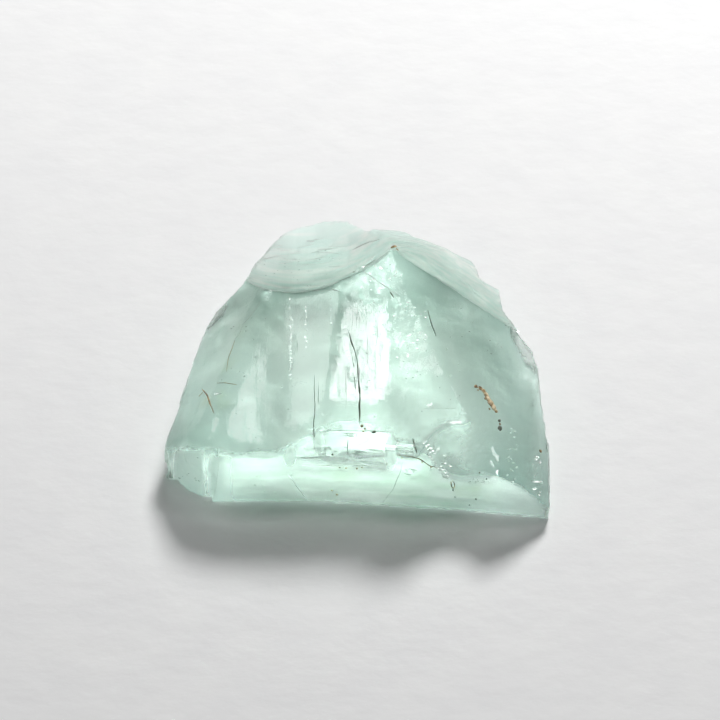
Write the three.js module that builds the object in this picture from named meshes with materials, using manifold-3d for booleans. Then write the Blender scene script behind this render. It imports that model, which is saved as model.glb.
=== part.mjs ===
// A loose phosphophyllite crystal tip, about 12 mm across, lying on the fracture it broke from its vein by.
//
// Millimetres, +Z up. X runs along the straight cleavage wall at the front and Y runs back from it. The
// origin is the centre of the base. The stone is one solid: a fractured blank, lofted from the plan
// outline, that the natural growth faces, the split ledges and the shell-shaped chips then cut.

import * as THREE from "three";
import { mergeVertices } from "three/addons/utils/BufferGeometryUtils.js";
import Module from "manifold-3d";

const wasm = await Module();
wasm.setup();

// Driving sizes. While the stone is being cut, y is measured from the middle of the cleavage wall.
const BELLY = 0.85; // height at which the broken sides stand out furthest
const BELLY_WANDER = 0.3; // how far that height wanders from point to point round the outline
const WANDER_STEP = 2.3; // radians that the wander turns by from one point to the next
const UNDERCUT = 0.3; // how far the base draws in under the broken sides
const SIDE_DRAFT = 0.35; // how far the sides draw in between the belly and the top of the blank
const BLANK_TOP = 7; // the uncut blank stands higher than the finished apex
const FRONT_ZONE = 1.3; // points nearer the wall than this stand upright, without undercut or draft
const CUTTER = 40; // side of a cutting block, larger than the stone
const SCOOP_SEGMENTS = 48;

// Natural faces over the top, as heights over the base: z = height + right * x + back * y.
const TOP_FACES = [
  { name: "middle face, left half", height: 2.735, right: 0, back: 0.25 },
  { name: "middle face, right half", height: 3.125, right: -0.25, back: 0.229 },
  { name: "right face", height: 4.1, right: -0.5, back: 0.126 },
  { name: "right end bevel", height: 7.077, right: -1.084, back: 0.18 },
  { name: "left bevel", height: 7.037, right: 0.911, back: -0.126 },
  { name: "back slope", height: 10.853, right: -0.3, back: -0.85 },
  { name: "back right slope", height: 8.863, right: -0.749, back: -0.5 },
];

// The left face lies a terrace lower than the middle faces, and a riser joins the two.
const LEFT_FACE = { height: 2.39, right: 0.04, back: 0.2 };
const RISER = { height: 3.218, right: 0.36, back: 0.199 };

// Split ledges at the front of the middle faces, each cut back from the wall to `back`.
const LEDGES = [
  { from: -2.2, to: 1, back: 0.6, tread: 1.87 },
  { from: -1.3, to: 1, back: 0.9, tread: 2.05 },
  { from: 1, to: 1.85, back: 0.57, tread: 2.62 },
];

// Shell-shaped chips, each the bite of an ellipsoid.
const SCOOPS = [
  { name: "back hollow", centre: [-2.1, 10.6, 6.2], radii: [4.6, 5.3, 4.9] },
  { name: "wall top, right of the ledges", centre: [3.3, -1.6, 5.2], radii: [2.2, 4, 4] },
  { name: "front left corner", centre: [-5.9, -1.3, 1], radii: [1.7, 2.2, 1.6] },
];

// Plan outline of the broken sides and back, counter-clockwise from the left end of the wall.
const OUTLINE = [
  [-4.69, 0.31],
  [-0.96, 0.28],
  [3.3, -0.05],
  [4.67, -0.22],
  [6.02, -0.38],
  [6.05, 1.87],
  [5.97, 2.25],
  [5.81, 3.87],
  [5.8, 4.51],
  [5.6, 5.01],
  [5.2, 5.5],
  [5, 6.1],
  [4.72, 6.55],
  [4.68, 7.25],
  [4.62, 8.15],
  [3.98, 8.25],
  [3.9, 8.83],
  [3.65, 9.32],
  [2.97, 9.31],
  [2.64, 9.43],
  [2.26, 9.92],
  [1.83, 10.19],
  [1.5, 10.7],
  [1, 10.56],
  [0.33, 10.17],
  [0, 10.5],
  [-0.37, 10.93],
  [-0.84, 11.11],
  [-1.27, 11.16],
  [-2.04, 10.98],
  [-2.57, 10.7],
  [-2.99, 10.03],
  [-3.37, 9.24],
  [-3.62, 8.5],
  [-3.84, 7.3],
  [-4.37, 7.05],
  [-4.73, 6.69],
  [-5.05, 6.2],
  [-5.44, 4.97],
  [-5.64, 3.86],
  [-5.9, 2.97],
  [-6.13, 2.06],
  [-6.25, 1.6],
  [-6.26, 1.23],
  [-5.86, 1.2],
  [-5.73, 1.01],
  [-5.46, 0.73],
  [-5.03, 0.54],
  [-4.72, 0.5],
];

function solidFrom(geometry) {
  const bare = new THREE.BufferGeometry();
  bare.setAttribute("position", geometry.getAttribute("position"));
  bare.setIndex(geometry.getIndex());
  const merged = mergeVertices(bare, 1e-4);
  return new wasm.Manifold(
    new wasm.Mesh({
      numProp: 3,
      vertProperties: merged.attributes.position.array,
      triVerts: new Uint32Array(merged.index.array),
    }),
  );
}

// The plan outline drawn in by `inset` along the outline's own normals, away from the front wall.
function ring(inset, heightAt) {
  return OUTLINE.map(([x, y], i) => {
    if (y < FRONT_ZONE) return new THREE.Vector3(x, y, heightAt(i));
    const before = OUTLINE[i - 1];
    const after = OUTLINE[(i + 1) % OUTLINE.length];
    const along = new THREE.Vector2(after[0] - before[0], after[1] - before[1]).normalize();
    return new THREE.Vector3(x - along.y * inset, y + along.x * inset, heightAt(i));
  });
}

// The blank is a stack of rings joined by side walls and closed by a flat cap at each end.
function blank() {
  const levels = [
    ring(UNDERCUT, () => 0),
    ring(0, (i) => BELLY + BELLY_WANDER * Math.sin(WANDER_STEP * i)),
    ring(SIDE_DRAFT, () => BLANK_TOP),
  ];
  const count = OUTLINE.length;
  const positions = levels.flat().flatMap((point) => point.toArray());
  const index = [];
  for (let level = 0; level + 1 < levels.length; level += 1) {
    for (let i = 0; i < count; i += 1) {
      const low = level * count + i;
      const lowNext = level * count + ((i + 1) % count);
      index.push(low, lowNext, lowNext + count, low, lowNext + count, low + count);
    }
  }
  const lastLevel = (levels.length - 1) * count;
  for (const [a, b, c] of THREE.ShapeUtils.triangulateShape(levels[0], [])) index.push(a, c, b);
  for (const [a, b, c] of THREE.ShapeUtils.triangulateShape(levels.at(-1), [])) {
    index.push(lastLevel + a, lastLevel + b, lastLevel + c);
  }
  const geometry = new THREE.BufferGeometry();
  geometry.setAttribute("position", new THREE.Float32BufferAttribute(positions, 3));
  geometry.setIndex(index);
  return solidFrom(geometry);
}

// A block that fills the space above a face.
function above(face) {
  const block = new THREE.BoxGeometry(CUTTER, CUTTER, CUTTER);
  block.translate(0, 0, CUTTER / 2);
  const normal = new THREE.Vector3(-face.right, -face.back, 1).normalize();
  const up = new THREE.Vector3(0, 0, 1);
  block.applyQuaternion(new THREE.Quaternion().setFromUnitVectors(up, normal));
  block.translate(0, 0, face.height);
  return solidFrom(block);
}

function ledge({ from, to, back, tread }) {
  const block = new THREE.BoxGeometry(to - from, CUTTER, CUTTER);
  block.translate((from + to) / 2, back - CUTTER / 2, tread + CUTTER / 2);
  return solidFrom(block);
}

function scoop({ centre, radii }) {
  const ball = new THREE.SphereGeometry(1, SCOOP_SEGMENTS, SCOOP_SEGMENTS / 2);
  ball.scale(...radii);
  ball.translate(...centre);
  return solidFrom(ball);
}

let stone = blank();
for (const face of TOP_FACES) stone = stone.subtract(above(face));
stone = stone.subtract(above(LEFT_FACE).intersect(above(RISER)));
for (const cut of LEDGES) stone = stone.subtract(ledge(cut));
for (const cut of SCOOPS) stone = stone.subtract(scoop(cut));

const made = stone.getMesh();
const geometry = new THREE.BufferGeometry();
geometry.setAttribute("position", new THREE.BufferAttribute(new Float32Array(made.vertProperties), 3));
geometry.setIndex(new THREE.BufferAttribute(new Uint32Array(made.triVerts), 1));
geometry.computeBoundingBox();
const middle = geometry.boundingBox.getCenter(new THREE.Vector3());
geometry.translate(-middle.x, -middle.y, -geometry.boundingBox.min.z);

const crystal = new THREE.Mesh(
  geometry,
  new THREE.MeshStandardMaterial({ color: 0xbfded2, roughness: 0.1, metalness: 0 }),
);
crystal.name = "crystal";
const group = new THREE.Group();
group.add(crystal);

export default group;
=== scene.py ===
"""A loose phosphophyllite crystal tip on white paper, dressed over its CAD solid.

The stone's own lengths are millimetres in the frame the CAD was cut in, whose y starts at the cleavage
wall. SHIFT and MM take them to the row's frame and to metres.
"""
import math

import bmesh
import bpy
import numpy as np
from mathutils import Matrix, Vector
from mathutils.bvhtree import BVHTree
from mathutils.kdtree import KDTree


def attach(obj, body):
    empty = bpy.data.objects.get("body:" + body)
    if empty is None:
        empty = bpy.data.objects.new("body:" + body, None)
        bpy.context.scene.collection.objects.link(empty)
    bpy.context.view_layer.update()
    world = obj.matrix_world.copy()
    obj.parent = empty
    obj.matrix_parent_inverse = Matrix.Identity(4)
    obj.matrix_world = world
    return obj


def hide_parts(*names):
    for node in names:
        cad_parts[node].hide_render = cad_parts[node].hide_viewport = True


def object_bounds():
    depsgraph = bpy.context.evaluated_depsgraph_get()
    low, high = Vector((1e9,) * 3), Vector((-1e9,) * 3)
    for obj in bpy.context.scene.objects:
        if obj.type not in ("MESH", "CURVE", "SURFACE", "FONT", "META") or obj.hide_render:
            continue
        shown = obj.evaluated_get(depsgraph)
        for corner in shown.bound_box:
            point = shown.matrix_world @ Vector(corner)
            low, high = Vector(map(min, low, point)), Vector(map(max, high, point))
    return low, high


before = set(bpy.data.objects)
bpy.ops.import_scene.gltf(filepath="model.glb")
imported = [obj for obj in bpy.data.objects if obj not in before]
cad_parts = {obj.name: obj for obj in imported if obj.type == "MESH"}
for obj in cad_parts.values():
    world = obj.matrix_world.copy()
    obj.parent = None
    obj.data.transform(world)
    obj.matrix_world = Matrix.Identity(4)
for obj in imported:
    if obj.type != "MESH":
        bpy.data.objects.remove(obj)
cad_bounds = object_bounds()
MM = 0.001
SHIFT = np.array([0.105, -5.39, 0.0])
scene = bpy.context.scene
scene.view_settings.view_transform = "Standard"
scene.view_settings.look = "None"

# ---------------------------------------------------------------- camera
IMAGE_WIDTH = 720  # pixels
ELEVATION = math.radians(50)
DISTANCE = 120  # mm
PIXELS_PER_MM = 31.05  # at the target
SENSOR = 36  # mm
TARGET = Vector((0.105, -0.84, 2.0))
RIGHTWARD = Vector((1, 0, 0))
BACKWARD = Vector((0, -math.cos(ELEVATION), math.sin(ELEVATION)))
UPWARD = Vector((0, math.sin(ELEVATION), math.cos(ELEVATION)))
EYE = TARGET + BACKWARD * DISTANCE


def make_camera():
    data = bpy.data.cameras.new("camera")
    data.sensor_width = SENSOR
    data.lens = PIXELS_PER_MM / IMAGE_WIDTH * SENSOR * DISTANCE
    data.clip_start = 0.001
    data.clip_end = 10
    camera = bpy.data.objects.new("camera", data)
    scene.collection.objects.link(camera)
    camera.location = EYE * MM
    camera.rotation_euler = (math.pi / 2 - ELEVATION, 0, 0)
    scene.camera = camera


# ---------------------------------------------------------------- light
def direction(azimuth, elevation):
    """Unit vector towards a light: azimuth in degrees from +Y towards +X, elevation over the floor."""
    a = math.radians(azimuth)
    e = math.radians(elevation)
    return Vector((math.sin(a) * math.cos(e), math.cos(a) * math.cos(e), math.sin(e)))


KEY_AIM = direction(16, 40)
LIGHTS = [  # name, where it stands, distance in m, width in m, brightness as seen
    ("key", KEY_AIM, 0.14, 0.04, 51),
    ("overhead", direction(3, 79), 0.3, 0.048, 8.8),
    ("overhead_soft", direction(-13, 71), 0.31, 0.08, 3.2),
    ("left", direction(-58, 50), 0.3, 0.06, 3),
    ("right", direction(57, 61), 0.3, 0.05, 7.5),
    ("ledges", direction(0, 51), 0.3, 0.04, 9),
]
WORLD_STRENGTH = 0.02


def disc_light(name, aim, distance, width, radiance):
    """A round soft light that shines on the stone from the side that `aim` points to."""
    data = bpy.data.lights.new(name, "AREA")
    data.shape = "DISK"
    data.size = width
    data.energy = radiance * (math.pi * width / 2) ** 2
    lamp = bpy.data.objects.new(name, data)
    scene.collection.objects.link(lamp)
    lamp.location = aim * distance
    lamp.rotation_euler = aim.to_track_quat("Z", "Y").to_euler()


def make_lights():
    for light in LIGHTS:
        disc_light(*light)
    world = bpy.data.worlds.new("world")
    scene.world = world
    world.use_nodes = True
    background = world.node_tree.nodes["Background"]
    background.inputs["Color"].default_value = (1, 1, 1, 1)
    background.inputs["Strength"].default_value = WORLD_STRENGTH


# ---------------------------------------------------------------- shader nodes
def noise_node(tree, scale, detail, stretch=(1, 1, 1)):
    """A noise texture over object coordinates, with lumps 1 / scale metres wide; stretch makes streaks."""
    place = tree.nodes.new("ShaderNodeTexCoord")
    mapping = tree.nodes.new("ShaderNodeMapping")
    mapping.inputs["Scale"].default_value = [scale / s for s in stretch]
    tree.links.new(place.outputs["Object"], mapping.inputs["Vector"])
    texture = tree.nodes.new("ShaderNodeTexNoise")
    texture.inputs["Scale"].default_value = 1
    texture.inputs["Detail"].default_value = detail
    tree.links.new(mapping.outputs["Vector"], texture.inputs["Vector"])
    return texture


def ramp_node(tree, factor, *stops):
    """A colour ramp over a factor, with a position and a colour for each stop."""
    ramp = tree.nodes.new("ShaderNodeValToRGB")
    elements = ramp.color_ramp.elements
    while len(elements) < len(stops):
        elements.new(0.5)
    for element, (position, colour) in zip(elements, stops):
        element.position = position
        element.color = (*colour, 1)
    tree.links.new(factor, ramp.inputs["Fac"])
    return ramp


def bump_node(tree, height, distance, normal=None):
    """A bump whose full height is `distance` metres, over another bump's normal if one is given."""
    bump = tree.nodes.new("ShaderNodeBump")
    bump.inputs["Distance"].default_value = distance
    tree.links.new(height, bump.inputs["Height"])
    if normal:
        tree.links.new(normal, bump.inputs["Normal"])
    return bump


def new_material(name):
    material = bpy.data.materials.new(name)
    material.use_nodes = True
    return material, material.node_tree, material.node_tree.nodes["Principled BSDF"]


# ---------------------------------------------------------------- paper
PAPER_SIZE = 0.4  # m from the middle to each edge
PAPER_DROP = 0.02  # mm between the paper and the stone's base
PAPER_DARK = (0.875, 0.875, 0.878)
PAPER_LIGHT = (0.905, 0.905, 0.902)
PAPER_MOTTLE = 600  # patches in a metre
PAPER_FIBRES = 1500  # in a metre
FIBRE_HEIGHT = 0.02  # mm


def make_paper():
    bm = bmesh.new()
    bmesh.ops.create_grid(bm, x_segments=1, y_segments=1, size=PAPER_SIZE)
    sheet = bpy.data.meshes.new("paper")
    bm.to_mesh(sheet)
    bm.free()
    paper = bpy.data.objects.new("paper", sheet)
    scene.collection.objects.link(paper)
    paper.location.z = -PAPER_DROP * MM
    material, tree, shader = new_material("paper")
    mottle = noise_node(tree, PAPER_MOTTLE, 6)
    tone = ramp_node(tree, mottle.outputs["Fac"], (0.3, PAPER_DARK), (0.7, PAPER_LIGHT))
    tree.links.new(tone.outputs["Color"], shader.inputs["Base Color"])
    fibre = noise_node(tree, PAPER_FIBRES, 5, stretch=(1.5, 1, 1))
    bump = bump_node(tree, fibre.outputs["Fac"], FIBRE_HEIGHT * MM)
    tree.links.new(bump.outputs["Normal"], shader.inputs["Normal"])
    shader.inputs["Roughness"].default_value = 0.9
    shader.inputs["Specular IOR Level"].default_value = 0.1
    sheet.materials.append(material)


# ---------------------------------------------------------------- noise over points
WORD = np.uint64(0xFFFFFFFF)  # keeps a product to 32 bits
AXIS_FACTORS = (374761393, 668265263, 2246822519)
MIXING = ((15, 2246822519), (13, 3266489917))  # shift in bits, then factor
SEED_FACTOR = 97711
SEED_START = 12345
OCTAVE_SEED = 17  # between the seeds of one octave and the next
NOISE_ORIGIN = 1000.0  # cells; keeps every cell's number above zero


def lattice(ix, iy, iz, seed):
    """A fixed value from 0 to 1 for each whole-number point."""
    h = np.full(ix.shape, seed * SEED_FACTOR + SEED_START, np.uint64)
    for axis, factor in zip((ix, iy, iz), AXIS_FACTORS):
        h += axis.astype(np.uint64) * np.uint64(factor)
    h &= WORD
    for shift, factor in MIXING:
        h = ((h ^ (h >> np.uint64(shift))) * np.uint64(factor)) & WORD
    h ^= h >> np.uint64(16)
    return h.astype(np.float64) / float(WORD)


def noise(points, size, seed):
    """Smooth noise from -1 to 1; size is the width of its lumps in mm, one number or one for each axis."""
    q = points / size + NOISE_ORIGIN
    cell = np.floor(q)
    f = q - cell
    f = f * f * f * (f * (f * 6 - 15) + 10)
    cell = cell.astype(np.int64)
    total = np.zeros(len(points))
    for corner in np.ndindex(2, 2, 2):
        weight = np.where(corner, f, 1 - f).prod(1)
        total += weight * lattice(*(cell + corner).T, seed)
    return total * 2 - 1


def fractal(points, size, seed, octaves=4, gain=0.5):
    """Noise in layers, each half as wide as the one before it and `gain` times as strong."""
    total = np.zeros(len(points))
    amplitude = 1.0
    norm = 0.0
    for octave in range(octaves):
        total += amplitude * noise(points, np.asarray(size) / 2 ** octave, seed + OCTAVE_SEED * octave)
        norm += amplitude
        amplitude *= gain
    return total / norm


def shards(points, size, seed, tilt):
    """Flat facets of random height and slope, as broken stone has; about -1 to 1."""
    q = points / size + NOISE_ORIGIN
    home = np.floor(q).astype(np.int64)
    best = np.full(len(points), np.inf)
    value = np.zeros(len(points))
    for step in np.ndindex(3, 3, 3):
        cell = home + np.array(step) - 1
        middle = np.stack([cell[:, i] + lattice(*cell.T, seed + i) for i in range(3)], 1)
        away = q - middle
        far = (away ** 2).sum(1)
        slope = np.stack([lattice(*cell.T, seed + 5 + i) * 2 - 1 for i in range(3)], 1)
        level = (lattice(*cell.T, seed + 9) * 2 - 1) * 0.5 + tilt * (slope * away).sum(1)
        nearer = far < best
        best = np.where(nearer, far, best)
        value = np.where(nearer, level, value)
    return value


def rise(value, start, end):
    """0 up to `start`, 1 from `end` on and an even slope between; `end` may be the lower of the two."""
    return np.clip((value - start) / (end - start), 0, 1)


# ---------------------------------------------------------------- kinds of face
FACES = {  # z = height + right * x + back * y, as in part.mjs
    "middle_left": (2.735, 0, 0.25),
    "middle_right": (3.125, -0.25, 0.229),
    "right": (4.1, -0.5, 0.126),
    "right_end": (7.077, -1.084, 0.18),
    "left_bevel": (7.037, 0.911, -0.126),
    "back": (10.853, -0.3, -0.85),
    "back_right": (8.863, -0.749, -0.5),
    "left": (2.39, 0.04, 0.2),
    "left_step": (3.218, 0.36, 0.199),
}
NATURAL = ("left", "left_step", "middle_left", "middle_right", "right", "left_bevel", "right_end")
SCOOPS = {  # centre and radii of each ellipsoid, as in part.mjs
    "hollow": ((-2.1, 10.6, 6.2), (4.6, 5.3, 4.9)),
    "notch": ((3.3, -1.6, 5.2), (2.2, 4, 4)),
    "corner": ((-5.9, -1.3, 1), (1.7, 2.2, 1.6)),
}
KINDS = ["base", "wall", "riser", "tread", "side", *SCOOPS, *FACES]  # risers and treads are the ledges'
SCOOP_SLACK = 0.02  # of its radius; how far off a scoop the middle of its facets may lie
SCOOP_FACING = 0.93  # least cosine between a facet's normal and the scoop's
PLANE_SLACK = 0.012  # mm; how far off a plane the middle of its facets may lie
LEVEL = 0.99  # least |z| of a level facet's normal
SLOPING = 0.3  # least z of the normal on the faces on top
UPRIGHT = 0.97  # least -y of the normal on the wall and the risers
WALL_DEPTH = 0.45  # mm; a front facet further back than this is a riser
BASE_TOP = 0.01  # mm


def kind_of(centre, normal):
    """The name of the CAD face that a facet belongs to."""
    x, y, z = centre
    for name, (middle, radii) in SCOOPS.items():
        inward = Vector([(m - c) / r for c, m, r in zip(centre, middle, radii)])
        facing = Vector([i / r for i, r in zip(inward, radii)]).normalized()
        if abs(inward.length - 1) < SCOOP_SLACK and normal.dot(facing) > SCOOP_FACING:
            return name
    if normal.z < -LEVEL and z < BASE_TOP:
        return "base"
    if normal.z > SLOPING:
        for name, (height, right, back) in FACES.items():
            if abs(z - height - right * x - back * y) < PLANE_SLACK:
                return name
        if normal.z > LEVEL:
            return "tread"
    if normal.y < -UPRIGHT:
        return "wall" if y < WALL_DEPTH else "riser"
    return "side"


# ---------------------------------------------------------------- the stone's mesh
VOXEL = 0.068  # mm, the width of the finished mesh's quads
MERGE = 0.002  # mm between corners that are one
KIND_ROUNDS = 3  # how far the kinds of face blend at an edge


def cad_mesh():
    """The CAD solid as triangles, in mm in the cutting frame."""
    bm = bmesh.new()
    bm.from_mesh(bpy.data.objects["crystal"].data)
    for v in bm.verts:
        v.co = Vector(np.array(v.co) / MM - SHIFT)
    bmesh.ops.remove_doubles(bm, verts=bm.verts, dist=MERGE)
    bmesh.ops.triangulate(bm, faces=bm.faces)
    bm.normal_update()
    return bm


def even_mesh(bm):
    """The same solid as an even quad mesh, which rounds each edge by about a voxel."""
    source = bpy.data.meshes.new("source")
    bm.to_mesh(source)
    carrier = bpy.data.objects.new("source", source)
    scene.collection.objects.link(carrier)
    remesh = carrier.modifiers.new("remesh", "REMESH")
    remesh.mode = "VOXEL"
    remesh.voxel_size = VOXEL
    graph = bpy.context.evaluated_depsgraph_get()
    even = bpy.data.meshes.new_from_object(carrier.evaluated_get(graph))
    bpy.data.objects.remove(carrier)
    bpy.data.meshes.remove(source)
    even.name = "stone"
    return even


def vertex_array(mesh, field="co"):
    values = np.empty(len(mesh.vertices) * 3)
    mesh.vertices.foreach_get(field, values)
    return values.reshape(-1, 3)


def edge_array(mesh):
    values = np.empty(len(mesh.edges) * 2, np.int32)
    mesh.edges.foreach_get("vertices", values)
    return values.reshape(-1, 2)


def set_points(mesh, points):
    mesh.vertices.foreach_set("co", points.ravel())
    mesh.update()


def spread(values, where, rounds):
    """Moves the chosen vertices' values half way to the mean of their neighbours, over and over."""
    values = values.copy()
    count = np.maximum(np.bincount(edges.ravel(), minlength=len(values)), 1)[:, None]
    for _ in range(rounds):
        total = np.zeros_like(values)
        for near, far in (edges.T, edges.T[::-1]):
            for axis in range(values.shape[1]):
                total[:, axis] += np.bincount(near, weights=values[far, axis], minlength=len(values))
        values[where] += 0.5 * (total / count - values)[where]
    return values


def kind_shares(cad, points):
    """How much of each vertex's surroundings is of each kind of face, one column for each kind."""
    kinds = [KINDS.index(kind_of(face.calc_center_median(), face.normal)) for face in cad.faces]
    tree = BVHTree.FromBMesh(cad)
    shares = np.zeros((len(points), len(KINDS)))
    shares[np.arange(len(points)), [kinds[tree.find_nearest(p)[2]] for p in points]] = 1
    return spread(shares, np.ones(len(points), bool), KIND_ROUNDS)


def distances(points, targets):
    """How far each point is from the nearest target."""
    tree = KDTree(len(targets))
    for i, target in enumerate(targets):
        tree.insert(target, i)
    tree.balance()
    return np.array([tree.find(p)[2] for p in points])


cad = cad_mesh()
stone_mesh = even_mesh(cad)
edges = edge_array(stone_mesh)
shares = kind_shares(cad, vertex_array(stone_mesh))
cad.free()


def of(*names):
    """How much of the surface round each vertex is of the kinds named, from 0 to 1."""
    return sum(shares[:, KINDS.index(name)] for name in names)


# ---------------------------------------------------------------- rounded edges
SOFT_EDGES = [  # faces that run into each other without a crisp edge: the two, reach in mm, rounds
    ("left_bevel", "left", 0.5, 120),
    ("left", "left_step", 0.7, 260),
    ("left_step", "middle_left", 0.14, 10),
    ("middle_left", "middle_right", 0.3, 40),
    ("right", "right_end", 0.5, 100),
    ("right", "back_right", 0.4, 60),
    ("back", "back_right", 0.5, 150),
    ("hollow", "back", 0.4, 80),
    ("right_end", "back_right", 0.3, 60),
    ("notch", "middle_right", 0.9, 300),
    ("notch", "right", 0.9, 300),
    ("notch", "wall", 0.3, 40),
    ("notch", "middle_left", 0.5, 100),
    ("left", "wall", 0.45, 70),
    ("corner", "wall", 0.5, 100),
    ("corner", "left_bevel", 0.4, 60),
    ("corner", "side", 0.4, 60),
    ("hollow", "left", 0.25, 24),
    ("hollow", "left_step", 0.25, 24),
    ("hollow", "middle_left", 0.2, 14),
]
ON_SEAM = 0.2  # least share of both faces at the edge between them
ON_PAIR = 0.97  # least share of the two together where they are smoothed
LEDGES = {"left": -2.5, "right": 2.1, "back": 1.35, "foot": 1.6}  # mm
LEDGE_PASSES = [(0.5, 20), (0.25, 30), (0, 50)]  # margin round the ledges in mm, rounds
RUBBED_CORNER = (-5.2, 0.5, 1.4)
RUBBED_SHAPE = (1, 1, 1.3)  # the rubbed zone is taller than it is wide
RUBBED_PASSES = [(1.6, 40), (1.4, 80), (1.2, 80)]  # reach in mm, rounds
RUBBED_FOOT = 0.15  # mm
RUBBED_BASE = 0.05  # a vertex with more of the base than this stays where it is


def soften_edges(points):
    for one, two, reach, rounds in SOFT_EDGES:
        seam = points[(of(one) > ON_SEAM) & (of(two) > ON_SEAM)]
        if len(seam):
            near = (distances(points, seam) < reach) & (of(one, two) > ON_PAIR)
            points = spread(points, near, rounds)
    return points


def soften_ledges(points):
    """Runs the ledges together into one broken dip."""
    x, y, z = points.T
    for margin, rounds in LEDGE_PASSES:
        across = (x > LEDGES["left"] - margin) & (x < LEDGES["right"] + margin)
        dip = across & (y < LEDGES["back"] + margin) & (z > LEDGES["foot"] - margin)
        points = spread(points, dip, rounds)
    return points


def rub_corner(points):
    """Rubs the front left corner round."""
    for reach, rounds in RUBBED_PASSES:
        away = np.linalg.norm((points - np.array(RUBBED_CORNER)) / np.array(RUBBED_SHAPE), axis=1)
        rubbed = (away < reach) & (of("base") < RUBBED_BASE) & (points[:, 2] > RUBBED_FOOT)
        points = spread(points, rubbed, rounds)
    return points


# ---------------------------------------------------------------- bends of the faces
FRONT_START = 2.0  # mm from the wall; from here forward the middle faces fall towards it
FRONT_ROLL = 0.105  # how fast: mm for each square mm
SHOULDER_START = 3.3  # the same for the right of the middle face
SHOULDER_ROLL = 0.11
SHOULDER_CURVE = 0.5  # mm over which that fall gets steeper, before it goes on evenly
SHOULDER_SPAN = (1.1, 1.9)  # x over which the one fall gives way to the other
CREASE_START = 0.75  # x from which the left half of the middle face falls to the right
CREASE_ROLL = 0.12
TREAD_START = 0.25  # mm from the wall; from here back the treads fall
TREAD_FALL = 0.08  # mm for each mm
SWELLS = [(0.02, 2.4, 3), (0.005, 0.6, 23)]  # of the natural faces: height and width in mm, seed
MIXED = 0.75  # a vertex with less of its main kind than this is on an edge
NOT_NATURAL = 0.8  # and with more of the natural faces than this, between two of those


def beyond(one, other):
    """How far the one value lies past the other, and 0 where it falls short."""
    return np.clip(one - other, 0, None)


def bends(points):
    """How far each vertex moves up where its face bends, in mm."""
    x, y, _ = points.T
    front = FRONT_ROLL * beyond(FRONT_START, y) ** 2
    crease = CREASE_ROLL * beyond(x, CREASE_START) ** 2
    over = beyond(SHOULDER_START, y)
    evenly = SHOULDER_CURVE * (2 * over - SHOULDER_CURVE)
    shoulder = SHOULDER_ROLL * np.where(over < SHOULDER_CURVE, over ** 2, evenly)
    rightward = rise(x, *SHOULDER_SPAN)
    bend = -of("middle_left") * (front + crease)
    bend -= of("middle_right") * (front * (1 - rightward) + shoulder * rightward)
    bend -= of("tread") * TREAD_FALL * (beyond(y, TREAD_START) + x)
    for height, width, seed in SWELLS:
        bend += of(*NATURAL) * height * fractal(points, width, seed, 3)
    return bend


points = rub_corner(soften_ledges(soften_edges(vertex_array(stone_mesh))))
crisp_edges = (shares.max(1) < MIXED) & (of(*NATURAL) < NOT_NATURAL)
edge_distance = distances(points, points[crisp_edges])
points[:, 2] += bends(points)
set_points(stone_mesh, points)
normals = vertex_array(stone_mesh, "normal")
x, y, z = points.T

# ---------------------------------------------------------------- relief
WAVES = [  # kinds of face, height in mm, width in mm, seed, octaves
    (NATURAL, 0.004, (0.25, 1.6, 1.6), 3, 3),  # growth lines
    (("side",), 0.05, 1.1, 7, 3),
    (("back", "back_right", "corner"), 0.03, 1.1, 7, 4),
    (("hollow",), 0.03, (1.6, 0.7, 0.7), 7, 4),
    (("notch",), 0.01, 0.8, 7, 4),
    (("wall", "corner"), 0.012, 0.9, 9, 4),
    (("wall",), 0.012, (1.8, 1, 0.2), 71, 3),  # level streaks
]
FACETS = [  # kinds of face, height in mm, width in mm, seed, tilt
    (("side",), 0.05, 0.55, 40, 0.7),
    (("back", "back_right", "corner"), 0.02, 0.5, 50, 0.7),
    (("wall", "corner"), 0.012, 0.4, 70, 0.8),
]
PITS = [  # kinds of face, depth in mm, width in mm, seed, how much of the noise is no pit
    (NATURAL, 0.012, 0.22, 6, 0.55),
    (("middle_right",), 0.015, 0.16, 5, 0.3),
]
WEAR_DEPTH = 0.03  # mm off the edges
WEAR_REACH = 0.08  # mm from an edge
SPLIT_RIDGE = (5.1, 5.6)  # y over which the split facets come in towards the ridge
SPLIT_RIGHT = (2.9, 3.2)  # y over which they come in on the right half of the middle face
RIGHT_RIM = (2, 4)  # x over which the broken side gets rougher
LEDGE_MIDDLE = -0.2  # x of the ledges' middle
LEDGE_ENDS = (2.47, 0.57)  # mm from there over which their splinters come in
LEDGE_BACK = (1.5, 1.1)  # y over which they do
LEDGE_FOOT = (1.5, 2)  # z over which they do
WORN_FRONT = (-2.5, -2)  # x over which the wear comes in on the front edges
WORN_LEFT = (2, 2.5)  # y over which it comes in to the left of those
BASE_HOLLOW = 0.1  # mm that the underside rises between the points it rests on
BASE_RIM = 0.4  # mm from its edge over which it does so
INSIDE = 1e-4  # mm that the finish stays within the CAD box


def split_middle():
    """Fine split facets by the ridge and down the right half of the middle face."""
    amount = of("middle_left", "middle_right") * rise(y, *SPLIT_RIDGE) + 0.22 * of("middle_left")
    amount += 0.7 * of("middle_right") * rise(y, *SPLIT_RIGHT)
    return np.clip(amount, 0, 1) * 0.03 * shards(points, (0.22, 0.45, 0.45), 100, 0.8)


def chipped_right_rim():
    return of("side") * rise(x, *RIGHT_RIM) * 0.02 * shards(points, 0.4, 60, 0.6)


def broken_ledges():
    zone = rise(np.abs(x - LEDGE_MIDDLE), *LEDGE_ENDS) * rise(y, *LEDGE_BACK) * rise(z, *LEDGE_FOOT)
    coarse = 0.04 * shards(points, (0.7, 0.35, 0.35), 80, 0.9)
    fine = 0.012 * shards(points, 0.25, 90, 0.9)
    return zone * (coarse + fine)


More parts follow.
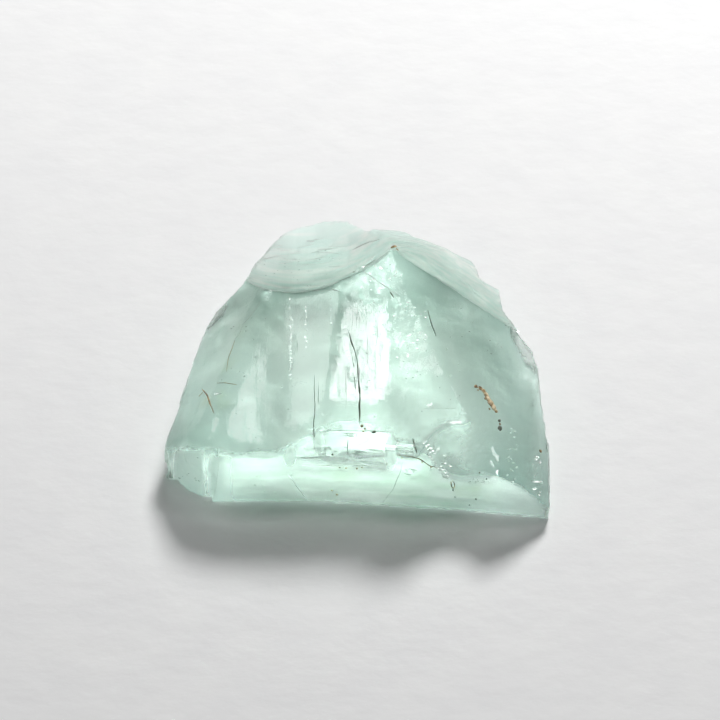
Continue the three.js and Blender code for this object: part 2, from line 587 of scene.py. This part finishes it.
def worn_edges():
    """Edges worn down here and there, but not the wall's upper left one."""
    patches = rise(fractal(points, 0.45, 13, 3), -0.1, 0.9)
    where = rise(x, *WORN_FRONT) + rise(y, *WORN_LEFT) * (x < WORN_FRONT[0])
    near = np.exp(-(edge_distance / WEAR_REACH) ** 2)
    return WEAR_DEPTH * near * patches * where * (1 - of("base"))


def relief():
    """How far each vertex stands out of its smooth face, in mm."""
    height = split_middle() + chipped_right_rim() + broken_ledges() - worn_edges()
    for kinds, high, width, seed, octaves in WAVES:
        height += of(*kinds) * high * fractal(points, width, seed, octaves)
    for kinds, high, width, seed, tilt in FACETS:
        height += of(*kinds) * high * shards(points, width, seed, tilt)
    for kinds, deep, width, seed, level in PITS:
        height -= of(*kinds) * deep * beyond(noise(points, width, seed), level)
    return height * (1 - of("base"))


def hollow_base(surface):
    """Makes the underside uneven, and leaves it flat where it touches the paper."""
    under = of("base") > 0.5
    swell = fractal(points[under], 1.3, 11, 3, 0.45)
    lift = BASE_HOLLOW * (swell - swell.min()) / (swell.max() - swell.min())
    surface[under, 2] += lift * rise(edge_distance[under], 0, BASE_RIM)


def triangle_tree(mesh, surface):
    triangles = []
    for polygon in mesh.polygons:
        a, b, c, *rest = polygon.vertices
        triangles.append((a, b, c))
        if rest:
            triangles.append((a, c, rest[0]))
    return BVHTree.FromPolygons([Vector(p) for p in surface], triangles)


surface = points + normals * relief()[:, None]
hollow_base(surface)
cad_low, cad_high = [np.array(corner) / MM - SHIFT for corner in cad_bounds]
surface = np.clip(surface, cad_low + INSIDE, cad_high - INSIDE)
set_points(stone_mesh, surface)
stone_tree = triangle_tree(stone_mesh, surface)

# ---------------------------------------------------------------- places seen in the photograph
FOCAL = PIXELS_PER_MM * DISTANCE  # pixels
EYE_CUT = EYE - Vector(SHIFT)  # the eye in the cutting frame


def under_pixel(u, v):
    """The stone's point and normal that the camera sees at a pixel, or nothing."""
    right = (u - IMAGE_WIDTH / 2) / FOCAL
    up = (IMAGE_WIDTH / 2 - v) / FOCAL
    point, normal, _, _ = stone_tree.ray_cast(EYE_CUT, RIGHTWARD * right + UPWARD * up - BACKWARD)
    return point, normal


# ---------------------------------------------------------------- frost
FROST = {  # roughness of each kind of face, from 0, clear, to 1, ground
    "left": 0.06, "left_step": 0.06, "middle_left": 0.06, "middle_right": 0.16, "right": 0.06,
    "left_bevel": 0.06, "right_end": 0.2, "wall": 0.2, "riser": 0.2, "tread": 0.2, "notch": 0.12,
    "base": 0.55, "hollow": 0.64, "back": 0.72, "back_right": 0.72, "side": 1, "corner": 1,
}
FROST_PATCHES = 0.25  # how much it varies from place to place
FROSTED_ZONES = [  # kind of face, axis, span over which it comes in, how much more
    ("middle_left", 1, (4.6, 5.6), 0.12),  # towards the ridge
    ("wall", 0, (-4, -4.6), 0.7),  # the left end
    ("base", 1, (2.8, 0.8), 0.35),  # the front
]


def frost():
    """The roughness of each vertex."""
    value = sum(amount * of(kind) for kind, amount in FROST.items())
    for kind, axis, span, amount in FROSTED_ZONES:
        value += of(kind) * amount * rise(points[:, axis], *span)
    patches = FROST_PATCHES * (1 - of("base")) * fractal(points, 0.5, 33, 3)
    return np.clip(value * (1 + patches), 0, 1)


# ---------------------------------------------------------------- tint
RIDGE_SHADOW_COLOUR = (0.25, 0.36, 0.32)  # painted shadow on the base under the ridge
EDGE_COLOUR = (0.82, 0.97, 0.93)  # the base towards its outline
BACK_DARK = np.array([0.56, 0.71, 0.65])
BACK_PALE = np.array([0.93, 0.88, 0.84])
# painted shade: darkens the front wall, which faces away from the key light
WALL_SHADE_COLOUR = (0.6, 0.69, 0.61)
BASE_MIDDLE = 4  # y
OUTER_BASE = (2.6, 4.6)  # mm from the middle over which the deeper green comes in
BAND_MIDDLE = 7.6  # y of the painted shadow band along its straight stretch
BAND_STRAIGHT = (-2.5, 1.5)  # x of the ends of that
BAND_DROOP = (0.3, 0.34)  # how fast it bends forward beyond each of them, mm for each square mm
BAND_WIDTH = 0.9  # mm
BAND_CENTRE = -0.2  # x
BAND_ENDS = (5.2, 3.2)  # mm from there over which it comes in
PALE_MIDDLE = (-1.9, 8.3)  # x and y of the palest part of the hollow
PALE_REACH = (1.3, 0.9)
BACK_END = (9.2, 10.4)  # y over which the back gets darker
WALL_SHADE_ENDS = (4.6, 3.1)  # |x| over which the painted shade on the wall comes in
STAINS = [  # pixel, reach in mm, colour, strength; a colour over 1 takes tint away again
    ((222, 400), 0.35, (0.85, 0.86, 0.62), 0.6),
    ((228, 365), 0.35, (0.85, 0.88, 0.66), 0.5),
    ((240, 330), 0.3, (0.86, 0.9, 0.7), 0.5),
    ((205, 402), 0.25, (0.8, 0.72, 0.5), 0.5),
    ((340, 475), 0.35, (0.72, 0.7, 0.5), 0.5),
    ((358, 473), 0.3, (0.7, 0.68, 0.5), 0.5),
    ((460, 493), 0.22, (0.62, 0.66, 0.4), 0.7),
    ((482, 492), 0.4, (0.82, 0.88, 0.55), 0.7),
    ((337, 440), 0.2, (0.45, 0.62, 0.56), 0.7),
    ((363, 455), 0.3, (0.9, 0.86, 0.95), 0.5),
    ((418, 502), 0.5, (0.7, 0.92, 0.84), 0.5),
    ((235, 485), 0.6, (0.84, 0.97, 0.88), 0.4),
    ((302, 479), 0.3, (1.3, 1.25, 1.3), 1),
    ((343, 500), 0.25, (1.3, 1.2, 1.3), 1),
    ((318, 474), 0.3, (1.2, 1.15, 1.2), 1),
    ((388, 470), 0.5, (1.2, 1.15, 1.2), 0.8),
    ((411, 471), 0.3, (1.25, 1.2, 1.25), 1),
    ((270, 470), 0.5, (1.2, 1.15, 1.2), 0.8),
]


def dyed(tint, amount, colour):
    """The tint drawn towards a colour, by an amount for each vertex."""
    return tint * (1 - amount[:, None] * (1 - np.array(colour)))


def outer_base():
    """How far each vertex of the base is into its outer part, which is a deeper green."""
    from_middle = np.hypot(x, (y - BASE_MIDDLE) * 0.9)
    return of("base") * rise(from_middle, *OUTER_BASE)


def painted_ridge_shadow():
    """A painted shadow band on the base under the ridge, which bends forward at both ends, and faint
    painted shade in soft blotches.
    """
    left, right = BAND_STRAIGHT
    droop = BAND_DROOP[1] * beyond(x, right) ** 2 + BAND_DROOP[0] * beyond(left, x) ** 2
    across = (y - BAND_MIDDLE + droop) / BAND_WIDTH
    # painted shadow of the ridge on the base
    band = 0.75 * np.exp(-across ** 2) * rise(np.abs(x - BAND_CENTRE), *BAND_ENDS)
    # painted shade in soft blotches over the base
    mottle = 0.06 * rise(fractal(points, 0.9, 35, 4), 0, 0.5)
    return np.clip(of("base") * (band + mottle), 0, 1)


def back_colours():
    """Pale streaks across the darker broken back."""
    across = (x - PALE_MIDDLE[0]) / PALE_REACH[0]
    along = (y - PALE_MIDDLE[1]) / PALE_REACH[1]
    streak = 0.35 + 0.5 * np.exp(-across ** 2 - along ** 2) - 0.5 * rise(y, *BACK_END)
    streak += 0.9 * fractal(points, (2.2, 0.2, 0.2), 41, 3)
    return BACK_DARK + (BACK_PALE - BACK_DARK) * np.clip(streak, 0, 1)[:, None]


def painted_wall_shade():
    """Painted shade in level patches along the front wall, thinner at both of its ends."""
    patches = np.clip(0.75 + 0.9 * fractal(points, (0.9, 0.9, 0.3), 43, 4), 0, 1.3)
    return of("wall", "corner") * patches * rise(np.abs(x), *WALL_SHADE_ENDS)


def stained(tint):
    ragged = rise(fractal(surface, 0.3, 21, 3), -0.6, 0.4)
    for pixel, reach, colour, strength in STAINS:
        point, _ = under_pixel(*pixel)
        away = np.linalg.norm(surface - np.array(point), axis=1)
        amount = strength * np.exp(-(away / reach) ** 2) * ragged
        tint = np.clip(dyed(tint, amount, colour), 0, 1)
    return tint


def surface_tint():
    """The colour that light takes on at each vertex, painted shade on the base and on the wall included,
    with an alpha of 1.
    """
    tint = dyed(np.ones((len(points), 3)), outer_base(), EDGE_COLOUR)
    tint = dyed(tint, painted_ridge_shadow(), RIDGE_SHADOW_COLOUR)
    tint = dyed(tint, of("hollow", "back", "back_right"), back_colours())
    # painted shade on the wall, then the stains
    tint = stained(dyed(tint, painted_wall_shade(), WALL_SHADE_COLOUR))
    return np.concatenate([tint, np.ones((len(tint), 1))], axis=1)


# ---------------------------------------------------------------- the stone
CRYSTAL_IOR = 1.61
BODY_COLOUR = (0.25, 0.95, 0.65, 1)
BODY_DENSITY = 42  # for each metre
STRIAE = 9000  # in a metre
STRIAE_STRETCH = (1, 14, 14)
GRAIN = 5000  # in a metre
STRIAE_HEIGHT = 0.004  # mm
GRAIN_HEIGHT = 0.008  # mm
SHARP_ANGLE = math.radians(42)


def crystal_material():
    material, tree, shader = new_material("crystal")
    shader.inputs["IOR"].default_value = CRYSTAL_IOR
    shader.inputs["Transmission Weight"].default_value = 1
    for name, output, socket in (("frost", "Fac", "Roughness"), ("tint", "Color", "Base Color")):
        attribute = tree.nodes.new("ShaderNodeAttribute")
        attribute.attribute_name = name
        tree.links.new(attribute.outputs[output], shader.inputs[socket])
    striae = noise_node(tree, STRIAE, 4, stretch=STRIAE_STRETCH)
    grain = noise_node(tree, GRAIN, 6)
    bump = bump_node(tree, striae.outputs["Fac"], STRIAE_HEIGHT * MM)
    bump = bump_node(tree, grain.outputs["Fac"], GRAIN_HEIGHT * MM, bump.outputs["Normal"])
    tree.links.new(bump.outputs["Normal"], shader.inputs["Normal"])
    body = tree.nodes.new("ShaderNodeVolumeAbsorption")
    body.inputs["Color"].default_value = BODY_COLOUR
    body.inputs["Density"].default_value = BODY_DENSITY
    tree.links.new(body.outputs["Volume"], tree.nodes["Material Output"].inputs["Volume"])
    return material


def add_attribute(name, kind, field, values):
    stone_mesh.attributes.new(name, kind, "POINT").data.foreach_set(field, values.ravel())


def make_stone():
    add_attribute("frost", "FLOAT", "value", frost())
    add_attribute("tint", "FLOAT_COLOR", "color", surface_tint())
    set_points(stone_mesh, (surface + SHIFT) * MM)
    stone_mesh.shade_smooth()
    stone_mesh.set_sharp_from_angle(angle=SHARP_ANGLE)
    stone_mesh.materials.clear()
    stone_mesh.materials.append(crystal_material())
    stone = bpy.data.objects.new("stone", stone_mesh)
    scene.collection.objects.link(stone)
    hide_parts("crystal")
    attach(stone, "root")


# ---------------------------------------------------------------- shapes of the small marks
LINE_STEP = 2.0  # pixels between the rings of a ribbon
WANDER_WIDTH = 9.0  # pixels between the bends of a ribbon
SWELL_WIDTH = 6.0  # pixels between its thick and thin places
LONGEST_STEP = 0.6  # mm; a ribbon that leaps further than this has left its face
SINK = 0.5  # height of a grain over its width
GLINT = (BACKWARD + KEY_AIM).normalized()  # a splinter that faces this way mirrors the key light to the eye
STEP_HEIGHT = 3.0  # pixels between the steps that a tall patch is split into
SPLINTER_SIDES = 9
SPLINTER_LEAN = 0.05  # how far it may lean away from the glint
SPLINTER_HALF = 0.008  # mm, half its thickness
FORESHORTENING = 0.98  # how much of a splinter's height the camera sees


def resampled(pixels, step):
    """Points about `step` apart along a line of pixels."""
    path = np.array(pixels, float)
    run = np.concatenate([[0], np.cumsum(np.linalg.norm(np.diff(path, axis=0), axis=1))])
    count = max(3, int(run[-1] / step) + 1)
    places = np.linspace(0, run[-1], count)
    return np.stack([np.interp(places, run, path[:, i]) for i in (0, 1)], 1)


def ribbon(bm, pixels, width, depth=0.015, lift=0.005, wobble=0.5, seed=0):
    """A closed strip, `width` pixels wide, that follows the surface and reaches `depth` mm into it."""
    line = resampled(pixels, LINE_STEP)
    at = np.stack([line[:, 0], line[:, 1], np.full(len(line), seed * 7.3)], 1)
    line[:, 0] += wobble * noise(at, WANDER_WIDTH, seed)
    line[:, 1] += wobble * noise(at, WANDER_WIDTH, seed + 1)
    swell = 0.75 + 0.45 * noise(at, SWELL_WIDTH, seed + 2)
    spots = [(*under_pixel(*pixel), w) for pixel, w in zip(line, swell)]
    spots = [spot for spot in spots if spot[0] is not None]
    rings = []
    for i, (point, normal, w) in enumerate(spots):
        ahead = spots[min(i + 1, len(spots) - 1)][0] - spots[max(i - 1, 0)][0]
        if ahead.length < 1e-6 or ahead.length > LONGEST_STEP:
            continue
        taper = math.sin(math.pi * (i + 0.6) / (len(spots) + 0.2)) ** 0.5
        side = normal.cross(ahead).normalized() * (width * w * taper / PIXELS_PER_MM / 2)
        crown = normal * max(lift, side.length * 0.5)
        corners = (point - side, point - normal * depth * taper, point + side, point + crown)
        rings.append([bm.verts.new(c) for c in corners])
    for one, two in zip(rings, rings[1:]):
        for k in range(4):
            bm.faces.new((one[k], one[(k + 1) % 4], two[(k + 1) % 4], two[k]))
    if len(rings) > 1:
        bm.faces.new(rings[0][::-1])
        bm.faces.new(rings[-1])


def lump(bm, pixel, size, seed, stretch=1.0, lean=0.0, rounds=2):
    """A rough grain half sunk in the surface, `size` pixels across and `stretch` times as long."""
    point, normal = under_pixel(*pixel)
    if point is None:
        return
    made = bmesh.ops.create_icosphere(bm, subdivisions=rounds, radius=1)["verts"]
    shape = np.array([v.co for v in made])
    reach = 1 + 0.35 * noise(shape + seed * 3.1, 0.7, seed)
    level = normal.cross(Vector((0, 1, 0))).normalized()
    steep = normal.cross(level)
    across = level * math.cos(lean) + steep * math.sin(lean)
    along = steep * math.cos(lean) - level * math.sin(lean)
    radius = size / PIXELS_PER_MM / 2
    for v, r in zip(made, reach):
        local = v.co * (float(r) * radius)
        v.co = point + across * local.x + along * (local.y * stretch) + normal * (local.z * SINK)


def splinter(bm, pixel, wide, high, seed):
    """A thin plate with a broken outline that juts from the surface and catches the key light."""
    point, _ = under_pixel(*pixel)
    if point is None:
        return
    lean = [SPLINTER_LEAN * noise(np.array([[seed * 1.7, k * 2.3, 0.5]]), 1.0, seed)[0] for k in range(2)]
    facing = (GLINT + Vector((*lean, 0))).normalized()
    across = RIGHTWARD.cross(facing).normalized()
    along = across.cross(facing)
    angles = np.arange(SPLINTER_SIDES) * 2 * math.pi / SPLINTER_SIDES
    around = np.stack([np.cos(angles), np.sin(angles), np.full(SPLINTER_SIDES, float(seed))], 1)
    reach = 0.75 + 0.5 * noise(around, 0.6, seed)
    half_wide = wide / PIXELS_PER_MM / 2
    half_deep = high / PIXELS_PER_MM / 2 / FORESHORTENING
    outline = []
    for angle, r in zip(angles, reach):
        sideways = along * float(half_wide * math.cos(angle) * r)
        outline.append(point + sideways + across * float(half_deep * math.sin(angle) * r))
    top = [bm.verts.new(p + facing * SPLINTER_HALF) for p in [point] + outline]
    low = [bm.verts.new(p - facing * SPLINTER_HALF) for p in [point] + outline]
    for i in range(1, SPLINTER_SIDES + 1):
        j = i % SPLINTER_SIDES + 1
        bm.faces.new((top[0], top[i], top[j]))
        bm.faces.new((low[0], low[j], low[i]))
        bm.faces.new((top[j], top[i], low[i], low[j]))


def flake(bm, pixel, wide, high, seed, lean=0.0):
    """A bright broken patch: a flight of splinters, one or a row of them for each step of its height."""
    steps = max(1, round(high / STEP_HEIGHT))
    columns = max(1, round(wide * abs(math.sin(lean)) / STEP_HEIGHT))
    for step in range(steps):
        down = (step + 0.5) / steps - 0.5
        narrowing = math.sqrt(1 - min(abs(down) * 1.6, 0.95) ** 2)
        row = (pixel[0] - down * high * math.sin(lean), pixel[1] + down * high * math.cos(lean))
        for column in range(columns):
            shift = ((column + 0.5) / columns - 0.5) * wide
            spot = (row[0] + shift * math.cos(lean), row[1] + shift * math.sin(lean))
            splinter(bm, spot, wide * narrowing / columns * 1.1, high / steps * 0.95,
                     seed * 13 + step * 5 + column)


def scattered(middle, reach, count, seed):
    """Pixels strewn over an ellipse, thicker towards its middle."""
    rng = np.random.default_rng(seed)
    angle = rng.uniform(0, 2 * math.pi, count)
    far = rng.uniform(0, 1, count) ** 0.6
    return [(middle[0] + reach[0] * f * math.cos(a), middle[1] + reach[1] * f * math.sin(a))
            for a, f in zip(angle, far)]


def ribbons(bm, rows, first_seed, **style):
    for seed, (pixels, width) in enumerate(rows, first_seed):
        ribbon(bm, pixels, width, seed=seed, **style)


def grains(bm, rows, first_seed):
    for seed, (pixel, size, stretch, lean) in enumerate(rows, first_seed):
        lump(bm, pixel, size, seed, stretch, lean)


def specks(bm, rows, first_seed, stretch=1.0):
    for seed, (pixel, size) in enumerate(rows, first_seed):
        lump(bm, pixel, size, seed, stretch, rounds=1)


MARK_GRAIN_HEIGHT = 0.01  # mm
MARK_IOR = 1.5


def mark_material(name, dark, light, scale, roughness=0.6, transmission=0.0):
    """Two tones in fine grain, for dirt, wear, painted highlights and splinters; scale is the grains in a
    metre.
    """
    material, tree, shader = new_material(name)
    grain = noise_node(tree, scale, 5)
    tone = ramp_node(tree, grain.outputs["Fac"], (0.38, dark), (0.62, light))
    tree.links.new(tone.outputs["Color"], shader.inputs["Base Color"])
    bump = bump_node(tree, grain.outputs["Fac"], MARK_GRAIN_HEIGHT * MM)
    tree.links.new(bump.outputs["Normal"], shader.inputs["Normal"])
    shader.inputs["Roughness"].default_value = roughness
    shader.inputs["Transmission Weight"].default_value = transmission
    shader.inputs["IOR"].default_value = MARK_IOR
    return material


def finish_mark(bm, name, *tones, **finish):
    """Turns a builder's mesh into a piece of the stone, in a material of the same name."""
    bmesh.ops.recalc_face_normals(bm, faces=bm.faces)
    for v in bm.verts:
        v.co = (v.co + Vector(SHIFT)) * MM
    marks = bpy.data.meshes.new(name)
    bm.to_mesh(marks)
    bm.free()
    marks.materials.append(mark_material(name, *tones, **finish))
    piece = bpy.data.objects.new(name, marks)
    scene.collection.objects.link(piece)
    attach(piece, "root")


# ---------------------------------------------------------------- dark cracks and specks
CRACKS = [  # pixels along the crack, width in pixels, depth in mm
    ([(349, 331), (353, 345), (357, 360)], 1.5, 0.16),
    ([(357, 360), (358.5, 380), (360, 400), (360, 424)], 2.0, 0.22),
    ([(353, 372), (355, 382), (356, 391)], 1.0, 0.1),
    ([(352, 355), (354, 368)], 0.8, 0.08),
    ([(428, 310), (431, 320), (436, 336)], 1.2, 0.08),
    ([(315, 375), (314.5, 398), (314, 420), (314, 440)], 1.0, 0.1),
    ([(319, 382), (318, 404)], 0.7, 0.06),
    ([(413, 439), (414.5, 446), (416.5, 453)], 1.6, 0.08),
    ([(348, 440), (347.5, 448), (348, 455)], 0.9, 0.06),
    ([(325, 447), (325.5, 456)], 1.0, 0.06),
    ([(318, 448), (318.5, 455)], 0.7, 0.05),
    ([(313.6, 429), (314, 438)], 0.7, 0.05),
    ([(361, 268), (368, 265), (375, 260)], 0.9, 0.05),
    ([(376, 258), (375, 262)], 1.0, 0.05),
    ([(390, 292), (394, 297)], 1.3, 0.06),
    ([(297, 340), (297, 352)], 0.6, 0.05),
    ([(404, 459), (400, 473), (393, 489), (383, 503)], 0.35, 0.03),
]
DARK_PIT = ((374, 432), 4.6, 11, 0.6)  # pixel, size in pixels, seed, stretch
DARK_GRAIN = ((499.8, 428), 4.2, 50, 1.3)
DARK_SPECKS = [  # pixel, size in pixels
    ((332.5, 454.5), 2.6), ((374.4, 456.8), 1.8), ((453, 490), 2.6), ((476, 499), 2.4),
    ((455, 497), 1.8), ((469.5, 505), 1.8), ((479.6, 472.6), 1.6), ((486.6, 479), 1.8),
    ((499.4, 420.6), 3.4), ((323, 454), 1.4), ((257, 476), 1.5), ((260, 476), 1.4),
    ((255, 485), 1.4), ((387, 464), 2.0), ((389, 466), 1.3),
]
CRACK_TONES = ((0.035, 0.04, 0.03), (0.14, 0.15, 0.11), 20000)  # dark, light, grains in a metre


def make_cracks():
    bm = bmesh.new()
    for seed, (pixels, width, depth) in enumerate(CRACKS, 100):
        ribbon(bm, pixels, width, depth=depth, lift=0.004, wobble=0.7, seed=seed)
    lump(bm, *DARK_PIT)
    specks(bm, DARK_SPECKS, 20)
    lump(bm, *DARK_GRAIN)
    finish_mark(bm, "crack_fill", *CRACK_TONES)


# ---------------------------------------------------------------- brown grains and rust
OCHRE_GRAINS = [  # pixel, size in pixels, stretch, lean in radians
    ((483.5, 390.5), 4.5, 1.5, 0.7),
    ((486, 394.5), 4.5, 1.7, 0.5),
    ((488, 399), 5.0, 1.6, 0.45),
    ((490.5, 403), 6.5, 1.3, 0.5),
    ((493.5, 407.5), 6.0, 1.3, 0.4),
    ((496, 411), 3.5, 1.2, 0.5),
]
APEX_GRAINS = [((394, 247), 6, 0.8, 0), ((397.5, 250), 4, 1.0, 0)]
BROWN_GRAINS = [
    ((476, 386.5), 4.5, 0.8, 0.2),
    ((480.5, 388), 4.0, 1.2, 0.7),
    ((500, 424), 2.4, 1.0, 0),
    ((540.5, 451), 4.2, 0.8, 0),
    ((485, 398.5), 1.8, 1.6, 0.4),
    ((489.5, 409), 1.8, 1.4, 0.3),
]
BROWN_SPECKS = [  # pixel, size in pixels
    ((362, 426), 3.4), ((365, 428.5), 3.0), ((363.5, 431.5), 2.2), ((332, 490.5), 2.0),
    ((337, 494.4), 2.4), ((340, 467.5), 1.8), ((346, 468), 1.8), ((357, 468.5), 2.0),
    ((362, 467.5), 1.6), ((402, 458), 1.6), ((422, 462), 2.0), ((431, 467), 2.2),
    ((354, 272), 2.4), ((478, 390), 2.0),
]
RUSTY_CRACKS = [  # pixels along the crack, width in pixels
    ([(202, 389), (207, 395), (210, 404), (214, 413)], 1.5),
    ([(203, 392), (199, 396)], 0.9),
    ([(396.8, 455), (411, 456.5), (421, 459.5), (430, 466), (438, 468)], 1.1),
    ([(450.5, 481), (451, 487), (454, 488)], 0.9),
    ([(452, 480), (455, 484), (454, 488)], 0.9),
    ([(217, 383), (225, 382.5), (237, 385)], 0.7),
    ([(235, 340), (229, 356), (226, 372)], 0.7),
]
OCHRE_TONES = ((0.42, 0.27, 0.12), (0.85, 0.72, 0.48), 9000)
BROWN_TONES = ((0.12, 0.06, 0.03), (0.62, 0.42, 0.2), 9000)


def make_ochre_inclusion():
    bm = bmesh.new()
    grains(bm, OCHRE_GRAINS, 70)
    finish_mark(bm, "ochre_inclusion", *OCHRE_TONES)


def make_brown_grains():
    bm = bmesh.new()
    grains(bm, APEX_GRAINS, 60)
    grains(bm, BROWN_GRAINS, 80)
    specks(bm, BROWN_SPECKS, 90, stretch=0.9)
    ribbons(bm, RUSTY_CRACKS, 130, depth=0.04)
    finish_mark(bm, "brown_grains", *BROWN_TONES)


# ---------------------------------------------------------------- bright splinters
BRIGHT_PATCHES = [  # pixel, width and height in pixels, lean in radians
    ((399, 449), 30, 7, 0.08),
    ((358, 453), 18, 6, 0.0),
    ((375, 450), 16, 4, -0.1),
    ((350, 435), 11, 5, 0.35),
    ((428, 447), 14, 5, 1.0),
    ((433, 451), 9, 3, 1.0),
    ((443, 472), 15, 6, 0.95),
    ((446, 477), 8, 5, 0.6),
    ((218, 394), 9, 2, 0.0),
    ((180, 478), 3, 3, 0.0),
    ((536, 458), 6, 5, 0.3),
    ((540, 463), 4, 3, 0.0),
    ((534.5, 482), 12, 4, -0.15),
    ((533, 489), 5, 3, 0.3),
    ((539, 495), 4, 3, 0),
    ((364.5, 267), 7, 3, 0.0),
    ((381, 268), 5, 4, 0.5),
    ((430, 405), 7, 1.5, 0.5),
    ((430, 405), 7, 1.5, -0.9),
    ((506.5, 298), 3, 12, -0.1),
    ((509, 309), 4, 8, -0.5),
    ((519, 333), 10, 4, 0.5),
    ((525, 339), 6, 3, 0.7),
]
SPARKLE_CLOUDS = [  # middle and reach in pixels, how many, least and greatest size in pixels
    ((335, 450), (34, 12), 16, (1.2, 3.0)),
    ((400, 448), (22, 8), 6, (1.2, 3.0)),
    ((440, 460), (14, 14), 14, (1.0, 3.5)),
    ((411, 471), (10, 4), 8, (1.5, 4.0)),
    ((484, 481), (18, 3), 16, (0.8, 1.8)),
    ((512, 458), (6, 30), 26, (0.5, 1.4)),
    ((536, 474), (8, 22), 20, (0.5, 1.8)),
    ((240, 480), (60, 16), 20, (0.6, 1.6)),
    ((410, 340), (22, 40), 46, (0.7, 2.4)),
    ((376, 275), (20, 22), 26, (0.7, 2.2)),
    ((365, 345), (22, 60), 30, (0.5, 1.3)),
    ((190, 470), (18, 26), 14, (0.7, 2.0)),
    ((470, 330), (40, 30), 16, (0.5, 1.1)),
    ((450, 400), (30, 40), 16, (0.5, 1.2)),
    ((255, 380), (40, 70), 26, (0.5, 1.2)),
    ((310, 268), (50, 20), 22, (0.6, 1.4)),
]
SPARKLE_ROWS = [  # u, top v, bottom v
    (290, 300, 384),
    (291.5, 318, 376),
    (331, 300, 330),
    (306, 306, 350),
]
ROW_STEP = 5.0  # pixels between the sparkles of a row
FLAKE_TONES = ((0.86, 0.92, 0.89), (0.97, 0.97, 0.96), 9000)


def sparkle_clouds(bm, seed):
    for middle, reach, count, sizes in SPARKLE_CLOUDS:
        rng = np.random.default_rng(seed)
        for pixel in scattered(middle, reach, count, seed):
            size = rng.uniform(*sizes)
            flake(bm, pixel, size * rng.uniform(1, 2), size * 0.7, seed)
            seed += 1


def sparkle_rows(bm, seed):
    for row, (u, top, bottom) in enumerate(SPARKLE_ROWS):
        rng = np.random.default_rng(seed + row)
        for v in np.arange(top, bottom, ROW_STEP):
            pixel = (u + rng.uniform(-0.6, 0.6), v + rng.uniform(-2, 2))
            flake(bm, pixel, 1.0, rng.uniform(1.5, 4), seed + 20 + row)


def make_white_flakes():
    bm = bmesh.new()
    for seed, (pixel, wide, high, lean) in enumerate(BRIGHT_PATCHES, 160):
        flake(bm, pixel, wide, high, seed, lean)
    sparkle_clouds(bm, 200)
    sparkle_rows(bm, 700)
    finish_mark(bm, "white_flakes", *FLAKE_TONES, roughness=0.25, transmission=0.85)


# ---------------------------------------------------------------- pale wear and painted highlights
WORN_AND_HIGHLIGHT_LINES = [  # pixels along the line, width in pixels
    ([(351, 250), (366, 244), (382, 238)], 2.6),
    ([(356, 248), (372, 240)], 1.8),
    ([(299, 285.6), (315, 286), (330, 286.8), (342, 292.8)], 1.3),
    ([(306, 290), (336, 291)], 0.8),
    ([(355, 265), (378, 281), (400, 297)], 1.2),
    ([(302, 466), (330, 465.5), (373, 465.5)], 0.5),
    ([(288, 474), (297, 487), (308, 500)], 0.5),
    # painted highlight: a bright line along the top of the ledge
    ([(385, 440), (400, 439), (412, 440.5)], 0.9),
    ([(424, 408), (440, 408.5), (455, 408)], 0.7),
    # painted highlight along the wall's bottom edge, in three lines
    ([(318, 506), (352, 507.5), (390, 510)], 1.1),
    ([(390, 510), (430, 513), (470, 515.5)], 1.2),
    ([(470, 515.5), (510, 517.5), (546, 519.5)], 1.2),
    ([(262, 300), (246, 322), (232, 345)], 0.9),
    ([(219, 446), (218, 470), (214, 500)], 0.9),
]
HOLLOW_LINES = ((306, 256), (40, 17), 34)  # middle, reach, how many; they run level
FACE_SCRATCHES = ((345, 382), (300, 385), 18)  # u span, v span, how many; they run down the middle face
WEAR_AND_HIGHLIGHT_TONES = ((0.93, 0.95, 0.93), (1.0, 0.98, 0.97), 12000)


def hollow_lines(bm, rng, first_seed):
    for seed, (u, v) in enumerate(scattered(*HOLLOW_LINES, 30), first_seed):
        run = rng.uniform(6, 22)
        tip = rng.uniform(-0.12, 0.06) * run
        line = [(u - run / 2, v - tip), (u, v), (u + run / 2, v + tip)]
        ribbon(bm, line, rng.uniform(0.6, 1.8), seed=seed)


def face_scratches(bm, rng, first_seed):
    u_span, v_span, count = FACE_SCRATCHES
    for seed in range(first_seed, first_seed + count):
        u = rng.uniform(*u_span)
        v = rng.uniform(*v_span)
        run = rng.uniform(8, 30)
        line = [(u, v), (u - 0.06 * run, v + run)]
        ribbon(bm, line, rng.uniform(0.4, 0.8), depth=0.01, lift=0.003, seed=seed)


# Pale wear and scratches, with painted highlight lines along the ledge and the wall's bottom edge.
def make_worn_marks_and_painted_highlights():
    bm = bmesh.new()
    ribbons(bm, WORN_AND_HIGHLIGHT_LINES, 300, depth=0.02, wobble=1.0)
    rng = np.random.default_rng(31)
    hollow_lines(bm, rng, 340)
    face_scratches(bm, rng, 400)
    finish_mark(bm, "worn_marks_and_painted_highlights", *WEAR_AND_HIGHLIGHT_TONES, roughness=0.5, transmission=0.85)


# ---------------------------------------------------------------- everything
make_stone()
make_cracks()
make_ochre_inclusion()
make_brown_grains()
make_white_flakes()
make_worn_marks_and_painted_highlights()

make_camera()
make_lights()
make_paper()
